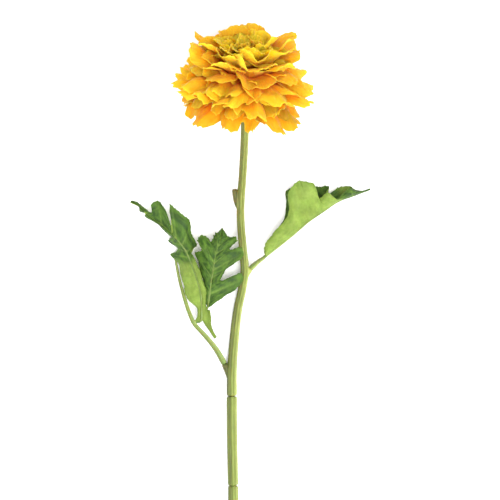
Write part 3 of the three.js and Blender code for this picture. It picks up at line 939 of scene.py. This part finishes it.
def melted(name, pieces, voxel, rounds):
    """Pieces that were moulded as one: joined, with soft fillets where they meet."""
    finish = pieces[0].data.materials[0]
    rough = joined(name + "_rough", pieces)
    remesh = rough.modifiers.new("melt", "REMESH")
    remesh.mode = "VOXEL"
    remesh.voxel_size = voxel * MM
    remesh.use_smooth_shade = True
    soften = rough.modifiers.new("soften", "SMOOTH")
    soften.iterations = rounds
    depsgraph = bpy.context.evaluated_depsgraph_get()
    done = bpy.data.meshes.new_from_object(rough.evaluated_get(depsgraph), depsgraph=depsgraph)
    bpy.data.objects.remove(rough)
    done.name = name
    done.materials.clear()
    done.materials.append(finish)
    piece = bpy.data.objects.new(name, done)
    bpy.context.scene.collection.objects.link(piece)
    return piece


RIGHT_SOCKET = [on_stem(155), on_stem(159, 2), on_stem(162, 4.2, 0.2)]
LEFT_SOCKET = [on_stem(84), on_stem(89, -2.4), on_stem(95, -5.6, 0.4)]
SIDE_SHOOT = [on_stem(203), on_stem(209, -2.9, 0.4), on_stem(217.5, -5, 0.8)]
FORK = (-36, 123, 5.5)
SHARES = np.linspace(0, 1, 60)

# The cords that carry on from the stalks as the midribs of the blades: which blade, the points between
# the stalk and the blade's foot, how far along the blade the cord goes, and its radius at both ends.
RIBS = {
    "right_leaf": ([(12.8, 169.5, 7.5)], 0.95, (1.2, 0.35)),
    "left_leaf_outer": ([(-34.2, 124.3, 7)], 0.95, (0.9, 0.25)),
    "left_leaf_inner": ([(-32, 127, 7.2), (-28.5, 131.5, 8.4)], 0.9, (0.9, 0.2)),
    "left_leaflet": ([(-28.5, 129, 7.5)], 0.85, (0.6, 0.2)),
}


def sided(piece, line, radius):
    """Marks each point of a bar with how far it is to the left or right of the bar's middle line."""
    at = np.array([v.co for v in piece.data.vertices])
    line = in_frame(line)
    order = np.argsort(line[:, 1])
    middle = np.interp(at[:, 1], line[order, 1], line[order, 0])
    side = np.clip((at[:, 0] - middle) / (radius * MM), -1, 1)
    piece.data.attributes.new("side", "FLOAT", "POINT").data.foreach_set("value", side)
    return piece


def make_stem():
    upper = [
        stem_section("upper", UPPER_JOINT + GAP / 2, STEM_ROUTE[-1][1] - GAP),
        bar("right_socket", RIGHT_SOCKET, (2.6, 2.1), STEM_PLASTIC, ribs=0),
        bar("left_socket", LEFT_SOCKET, (3, 2.3), STEM_PLASTIC, ribs=0),
        bar("side_shoot", SIDE_SHOOT, (2.2, 1.9), STEM_PLASTIC, ribs=0),
    ]
    upper = melted("moulded_stem_upper", upper, 0.35, 3)
    fitted(sided(upper, STEM_LINE, NECK_RADIUS), "stem_upper", slot="stem")
    middle = stem_section("moulded_stem_middle", LOWER_JOINT + GAP / 2, UPPER_JOINT - GAP / 2)
    fitted(sided(middle, STEM_LINE, FOOT_RADIUS), "stem_middle", slot="stem")
    lower = stem_section("moulded_stem_lower", CUT_END[1], LOWER_JOINT - GAP / 2)
    fitted(sided(lower, STEM_LINE, FOOT_RADIUS), "stem_lower", slot="stem")


def make_stalks():
    right = [RIGHT_SOCKET[-1], (9.5, 167, 7.6), (13.6, 169.8, 7.5)]
    sleeve = bar(
        "moulded_right_leaf_stalk", right, (2.1, 1.5), STALK_PLASTIC, ribs=5, depth=0.04, spacing=0.4
    )
    fitted(sided(sleeve, along_curve(right, SHARES), 2), "right_leaf_stalk", slot="leaf_stalk")
    left = [LEFT_SOCKET[-1], (-21, 106, 6), (-28, 114.5, 6), FORK]
    rising = [(-39.5, 131.5, 5.5), (-42.5, 140.5, 4.6)]
    outer = [FORK, *rising, (-46, 153, 3), (-48.3, 164, 2), (-49.4, 171.5, 1.6)]
    inner = [FORK, (-34.5, 124.5, 6.2), (-32.5, 126.5, 7)]
    branches = [
        bar("main_stalk", left, (2.2, 1.6), STALK_PLASTIC, ribs=5, depth=0.05, spacing=0.4),
        bar("outer_branch", outer, (1.6, 0.9), STALK_PLASTIC, ribs=5, depth=0.05, spacing=0.4),
        bar("inner_branch", inner, (1.6, 1.4), STALK_PLASTIC, ribs=5, depth=0.05, spacing=0.4),
    ]
    stalk = melted("moulded_left_leaf_stalk", branches, 0.22, 3)
    line = along_curve(left + outer[1:], SHARES)
    fitted(sided(stalk, line, 1.6), "left_leaf_stalk", slot="leaf_stalk")


make_stem()
make_stalks()

# ---------- Leaves ----------

LEAF_THICKNESS = 0.45
LEAF_PRESS_HEIGHT = 4.0

# A blade is two halves that meet at the midrib. An edge's rows are (share of the midrib, x, y, z). They
# follow the CAD leaves, with a few rows moved at the outer leaf's foot and slit.
LEAVES = {
    # Folded upwards along its midrib, so that its pale underside is seen.
    "right_leaf": {
        "midrib": [
            (14.7, 171, 7.5), (25, 179, 9.5), (35, 187, 11), (44.5, 195, 11.5), (55, 202, 10.5),
            (65.5, 209, 9), (76, 213, 7.5), (88, 217.5, 5.5),
        ],
        "near": [
            (0, 13.7, 172, 8), (0.08, 13.6, 177.5, 11), (0.16, 17.5, 184, 13.5),
            (0.24, 24.5, 191, 14.5), (0.31, 30.5, 201, 16), (0.38, 31, 215.5, 20),
            (0.46, 37, 222.5, 23), (0.54, 46.5, 221, 22), (0.62, 51.5, 211, 15),
            (0.69, 57.5, 214, 15.5), (0.77, 63, 210.5, 11.5), (0.86, 73, 217, 12),
            (0.92, 78.5, 216, 8.5), (1, 88, 218.1, 6),
        ],
        "far": [
            (0, 15.7, 170, 7), (0.08, 15.5, 179, 5.5), (0.16, 20.5, 187, 3), (0.24, 27.5, 197, 1),
            (0.31, 29, 208, 0), (0.38, 28.7, 216.7, 1), (0.47, 41, 220, 0), (0.56, 52.5, 219.5, 2),
            (0.61, 58.6, 219.6, 5), (0.66, 54.5, 210, 7), (0.78, 66, 219, 4), (0.84, 72, 219.5, 3.5),
            (0.92, 78, 217, 4.5), (1, 88.4, 217, 5),
        ],
        "arch": [3, -2],
    },
    # The outer blade of the left leaf, turned so that its foot shows the pale underside.
    "left_leaf_outer": {
        "midrib": [
            (-31, 125.5, 9.6), (-30.5, 141, 10.5), (-33, 152.5, 12), (-37, 164, 12.5),
            (-42, 175, 12), (-49.5, 184.5, 11), (-59, 193, 9.5), (-68.5, 199.5, 8), (-73.5, 205, 7),
            (-80.5, 209, 6),
        ],
        "near": [
            (0, -25.5, 124.6, 9.6), (0.05, -26.2, 131.5, 10), (0.08, -27.5, 138, 10.5),
            (0.16, -27, 146, 12.5),
            (0.26, -31, 158, 13.5), (0.34, -35, 168.5, 13.5), (0.39, -37, 173.5, 12),
            (0.43, -33, 178.5, 7), (0.46, -36.5, 185.5, 9), (0.49, -38, 195.5, 13),
            (0.52, -42.5, 199, 15), (0.53, -48, 203.5, 16), (0.548, -53, 207.2, 16),
            (0.585, -50.4, 187.2, 12.5), (0.62, -56, 203.5, 14), (0.66, -61, 209.5, 13.5),
            (0.7, -65.5, 207, 12.5), (0.76, -65.5, 201.5, 9.5), (0.86, -70.5, 204, 8),
            (0.93, -76, 209, 7), (1, -80.2, 209.8, 6),
        ],
        "far": [
            (0, -34.6, 124.4, 9.4), (0.05, -33.2, 134, 8.6), (0.1, -40.5, 140.5, 6.5),
            (0.18, -43, 147.5, 5.5), (0.26, -45, 157, 5), (0.34, -47, 166, 4), (0.39, -54, 171.5, 1),
            (0.43, -48.5, 175.5, 6), (0.48, -55, 180.5, 1.5), (0.54, -53, 184, 7),
            (0.66, -60.5, 192, 8), (0.77, -70.5, 199, 5), (0.82, -69, 201, 7), (0.88, -74, 202.5, 4.5),
            (0.92, -74, 205, 6), (1, -80.7, 208.3, 6),
        ],
        "arch": [1.5, 1.5],
    },
    # The inner blade of the left leaf, spread flat and facing up, with two lobes across the stem.
    "left_leaf_inner": {
        "midrib": [
            (-26, 135.5, 9.5), (-24.5, 147, 12.5), (-22.5, 159.5, 14.5), (-20.5, 171.5, 15.5),
            (-17.5, 181.5, 15.5), (-15.5, 190, 14.5),
        ],
        "near": [
            (0, -25.2, 134.8, 9.5), (0.04, -22, 137.5, 10.5), (0.08, -15, 142, 11.5),
            (0.12, -6, 147.5, 12), (0.15, -1, 154.5, 12), (0.18, -3, 159, 12.5),
            (0.23, -11.5, 155.5, 13), (0.28, -17, 153.5, 13.5), (0.31, -14, 159.5, 14),
            (0.35, -7.5, 164.5, 13.5), (0.39, -2, 169, 12.5), (0.42, -0.5, 173.5, 12),
            (0.47, -4, 177.5, 12.5), (0.54, -11, 175.5, 14), (0.62, -5, 181, 12.5),
            (0.7, -7, 185, 12.5), (0.8, -12, 184, 14), (1, -15.2, 189.2, 14.5),
        ],
        "far": [
            (0, -27, 136, 9.5), (0.08, -29, 146, 8.5), (0.18, -31, 157, 9.5), (0.27, -32.5, 166.5, 10),
            (0.34, -36, 173, 10), (0.39, -31, 175, 13), (0.44, -33.5, 181, 14),
            (0.5, -31.5, 185.5, 13), (0.57, -26.5, 184, 14.5), (0.64, -23.5, 181.5, 15.5),
            (0.72, -21.5, 187, 14.5), (0.84, -18.5, 187.5, 14.5), (1, -15.8, 190.8, 14.5),
        ],
        "arch": [1.5, 1.5],
    },
    # A narrow leaflet that hangs from the foot of the left leaf.
    "left_leaflet": {
        "midrib": [
            (-26.4, 133, 6.5), (-26.2, 127, 6), (-25.6, 123, 5), (-24.2, 119, 4), (-22.4, 115.5, 3),
            (-20.6, 113, 2.5),
        ],
        "near": [
            (0, -24.9, 133, 7.2), (0.2, -23.8, 127.5, 7), (0.4, -24, 123, 5.5),
            (0.7, -22.3, 118.2, 3.7), (1, -19.9, 113.6, 2.6),
        ],
        "far": [
            (0, -27.9, 133, 6), (0.2, -28.8, 127, 4.5), (0.4, -28, 122.6, 3.8),
            (0.7, -24.5, 116.8, 3.3), (1, -21.3, 112.4, 2.4),
        ],
        "arch": [0.5, 0.5],
    },
}

# How each blade is finished: the share of its length where its pale underside faces up, where its side
# veins leave the midrib, and how deep the teeth of its edge are.
LEAF_FINISH = {
    "right_leaf": {"pale": (-0.1, 0.8), "veins": (0.22, 0.38, 0.46, 0.54, 0.69, 0.86), "teeth": 0.9},
    "left_leaf_outer": {"pale": (-0.1, 0.37), "veins": (0.2, 0.39, 0.43, 0.48, 0.54, 0.66, 0.8), "teeth": 0.6},
    "left_leaf_inner": {"pale": (-1, -0.5), "veins": (0.15, 0.34, 0.42, 0.5, 0.62, 0.72), "teeth": 0.9},
    "left_leaflet": {"pale": (-1, -0.5), "veins": (0.3,), "teeth": 0.3},
}


def edge_curve(rows, shares):
    """Points of an edge at these shares of the midrib."""
    rows = np.array(rows, float)
    counted = np.interp(shares, rows[:, 0], np.linspace(0, 1, len(rows)))
    return along_curve(rows[:, 1:], counted)


def two_sided(name, points, thickness, marks):
    """A closed solid on a grid of points. marks gives numbers for each grid point. The mark "under" is
    for the side that the grid's normal points away from, and the other side gets one minus it."""
    rows, columns = points.shape[:2]
    along = np.gradient(points, axis=0)
    across = np.gradient(points, axis=1)
    out = np.cross(along, across)
    out /= np.linalg.norm(out, axis=2, keepdims=True).clip(1e-9)
    edge = np.zeros((rows, columns, 1))
    edge[1:-1, 1:-1] = 1
    lift = out * thickness / 2 * (0.35 + 0.65 * edge)
    count = rows * columns
    vertices = np.vstack([(points + lift).reshape(-1, 3), (points - lift).reshape(-1, 3)])
    number = np.arange(count).reshape(rows, columns)
    corners = [number[:-1, :-1], number[1:, :-1], number[1:, 1:], number[:-1, 1:]]
    quads = np.stack(corners, -1).reshape(-1, 4)
    rim = np.concatenate([number[:-1, 0], number[-1, :-1], number[:0:-1, -1], number[0, :0:-1]])
    after = np.roll(rim, -1)
    walls = np.stack([rim, rim + count, after + count, after], -1)
    faces = np.vstack([quads, quads[:, ::-1] + count, walls])
    mesh = bpy.data.meshes.new(name)
    mesh.from_pydata(in_frame(vertices).tolist(), [], faces.tolist())
    for label, values in marks.items():
        flat = values.reshape(-1)
        other = 1 - flat if label == "under" else flat
        marked = mesh.attributes.new(label, "FLOAT", "POINT").data
        marked.foreach_set("value", np.concatenate([other, flat]))
    mesh.shade_smooth()
    piece = bpy.data.objects.new(name, mesh)
    bpy.context.scene.collection.objects.link(piece)
    return piece


def bell(x, width):
    return np.exp(-((x / width) ** 2))


def make_leaf(name):
    leaf, finish = LEAVES[name], LEAF_FINISH[name]
    stations = np.unique([row[0] for row in leaf["near"] + leaf["far"]])
    pieces = [np.linspace(a, b, 6, endpoint=False) for a, b in zip(stations[:-1], stations[1:])]
    t = np.append(np.concatenate(pieces), 1.0)
    v = np.sin(np.linspace(-1, 1, 41) * math.pi / 2)
    middle = along_curve(leaf["midrib"], t)
    sides = {}
    for label in ("far", "near"):
        edge = edge_curve(leaf[label], t)
        travelled = np.append(0, np.cumsum(np.linalg.norm(np.diff(edge, axis=0), axis=1)))
        rib = edge - middle
        reach = np.linalg.norm(rib, axis=1).clip(1e-6)
        tooth = (travelled / 3.1) % 1.0
        cut = finish["teeth"] * (tooth - 0.35) * np.minimum(1, reach / 6)
        sides[label] = (edge, cut / reach, reach)
    points = np.zeros((len(t), len(v), 3))
    vein = np.zeros((len(t), len(v)))
    ridge = np.zeros((len(t), len(v)))
    length = np.linalg.norm(np.diff(middle, axis=0), axis=1).sum()
    for j, side in enumerate(v):
        edge, cut, reach = sides["far" if side < 0 else "near"]
        share = abs(side)
        grown_share = (share * (1 + cut * share**5))[:, None]
        points[:, j] = middle + (edge - middle) * grown_share
        arch = leaf["arch"][1 if side < 0 else 0]
        points[:, j, 2] += 4 * arch * share * (1 - share)
        gaps = [(t - at) * length * (0.35 + share) for at in finish["veins"]]
        side_veins = sum(bell(gap, 0.5) for gap in gaps)
        vein[:, j] = np.clip(bell(share * reach, 0.7) + side_veins * (1 - share) ** 0.4, 0, 1)
        ridge[:, j] = sum(bell(gap, 3.2) for gap in gaps) * share * np.minimum(1, reach / 9)
    normal = np.cross(np.gradient(points, axis=0), np.gradient(points, axis=1))
    normal /= np.linalg.norm(normal, axis=2, keepdims=True).clip(1e-9)
    wave = np.sin(points[..., 0] * 0.42 + points[..., 1] * 0.31) * np.sin(points[..., 1] * 0.37 - 1.1)
    relief = 0.4 * wave * np.abs(v)[None, :] + 0.3 * vein + 1.3 * ridge
    points += normal * relief[..., None]
    lifted = points[..., 2] - LEAF_THICKNESS / 2
    points[..., 2] = LEAF_THICKNESS / 2 + resting_height(lifted, LEAF_PRESS_HEIGHT)
    low, high = finish["pale"]
    pale = np.clip((t - low) / 0.05, 0, 1) * np.clip((high - t) / 0.05, 0, 1)
    marks = {
        "along": np.repeat(t[:, None], len(v), 1),
        "across": np.repeat(v[None, :], len(t), 0),
        "vein": vein,
        "under": np.repeat(pale[:, None], len(v), 1),
    }
    if name == "right_leaf":
        marks["under"] = 1 - marks["under"]
    piece = two_sided("cloth_" + name, points, LEAF_THICKNESS, marks)
    piece.data.materials.append(LEAF_CLOTH)
    fitted(piece, name, slot="leaf")


def make_rib(name):
    """The cord along a blade's midrib, from its stalk nearly to its tip."""
    lead, reach, radii = RIBS[name]
    middle = along_curve(LEAVES[name]["midrib"], np.linspace(0, reach, 12))
    middle[2:] -= (0, 0, 0.35)
    rib = bar("moulded_" + name + "_rib", [*lead, *middle], radii, STALK_PLASTIC, ribs=0, swell=0.05)
    sided(rib, middle, radii[0])
    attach(rib, ROOT)


for leaf_name in LEAVES:
    make_leaf(leaf_name)
    make_rib(leaf_name)

# ---------- Floor, light and camera ----------


def make_floor():
    mesh = bpy.data.meshes.new("floor")
    mesh.from_pydata([(-3, -3, 0), (3, -3, 0), (3, 3, 0), (-3, 3, 0)], [], [(0, 1, 2, 3)])
    floor = bpy.data.objects.new("floor", mesh)
    bpy.context.scene.collection.objects.link(floor)
    material, tree, shader = new_material("pale floor", 0.9, Specular_IOR_Level=0.1)
    grain = noise(tree, place(tree), 0.4)
    whites = mixed(tree, grain, colour(250, 250, 250), colour(254, 254, 254))
    feed(tree, shader.inputs["Base Color"], whites)
    mesh.materials.append(material)


def make_light(name, at, size, watts, aim):
    data = bpy.data.lights.new(name, "AREA")
    data.size = size
    data.energy = watts
    light = bpy.data.objects.new(name, data)
    bpy.context.scene.collection.objects.link(light)
    light.location = in_frame(at)
    light.rotation_euler = Vector(in_frame(aim) - in_frame(at)).to_track_quat("-Z", "Y").to_euler()


def make_studio():
    make_light("key", (400, -100, 1250), 0.9, 23, (0, 200, 0))
    make_light("fill", (-300, -500, 1000), 1.4, 9, (0, 290, 40))
    world = bpy.data.worlds.new("studio")
    world.use_nodes = True
    world.node_tree.nodes["Background"].inputs["Color"].default_value = (1, 1, 1, 1)
    world.node_tree.nodes["Background"].inputs["Strength"].default_value = 1.15
    bpy.context.scene.world = world
    bpy.context.scene.view_settings.view_transform = "Standard"


def make_camera():
    """A long lens straight above the flower, so that it is seen as it would stand."""
    data = bpy.data.cameras.new("camera")
    data.lens = 135
    data.sensor_width = 36
    camera = bpy.data.objects.new("camera", data)
    bpy.context.scene.collection.objects.link(camera)
    frame_width = 350
    camera.location = in_frame((3.5, 175, 12 + frame_width * data.lens / data.sensor_width))
    bpy.context.scene.camera = camera


make_floor()
make_studio()
make_camera()
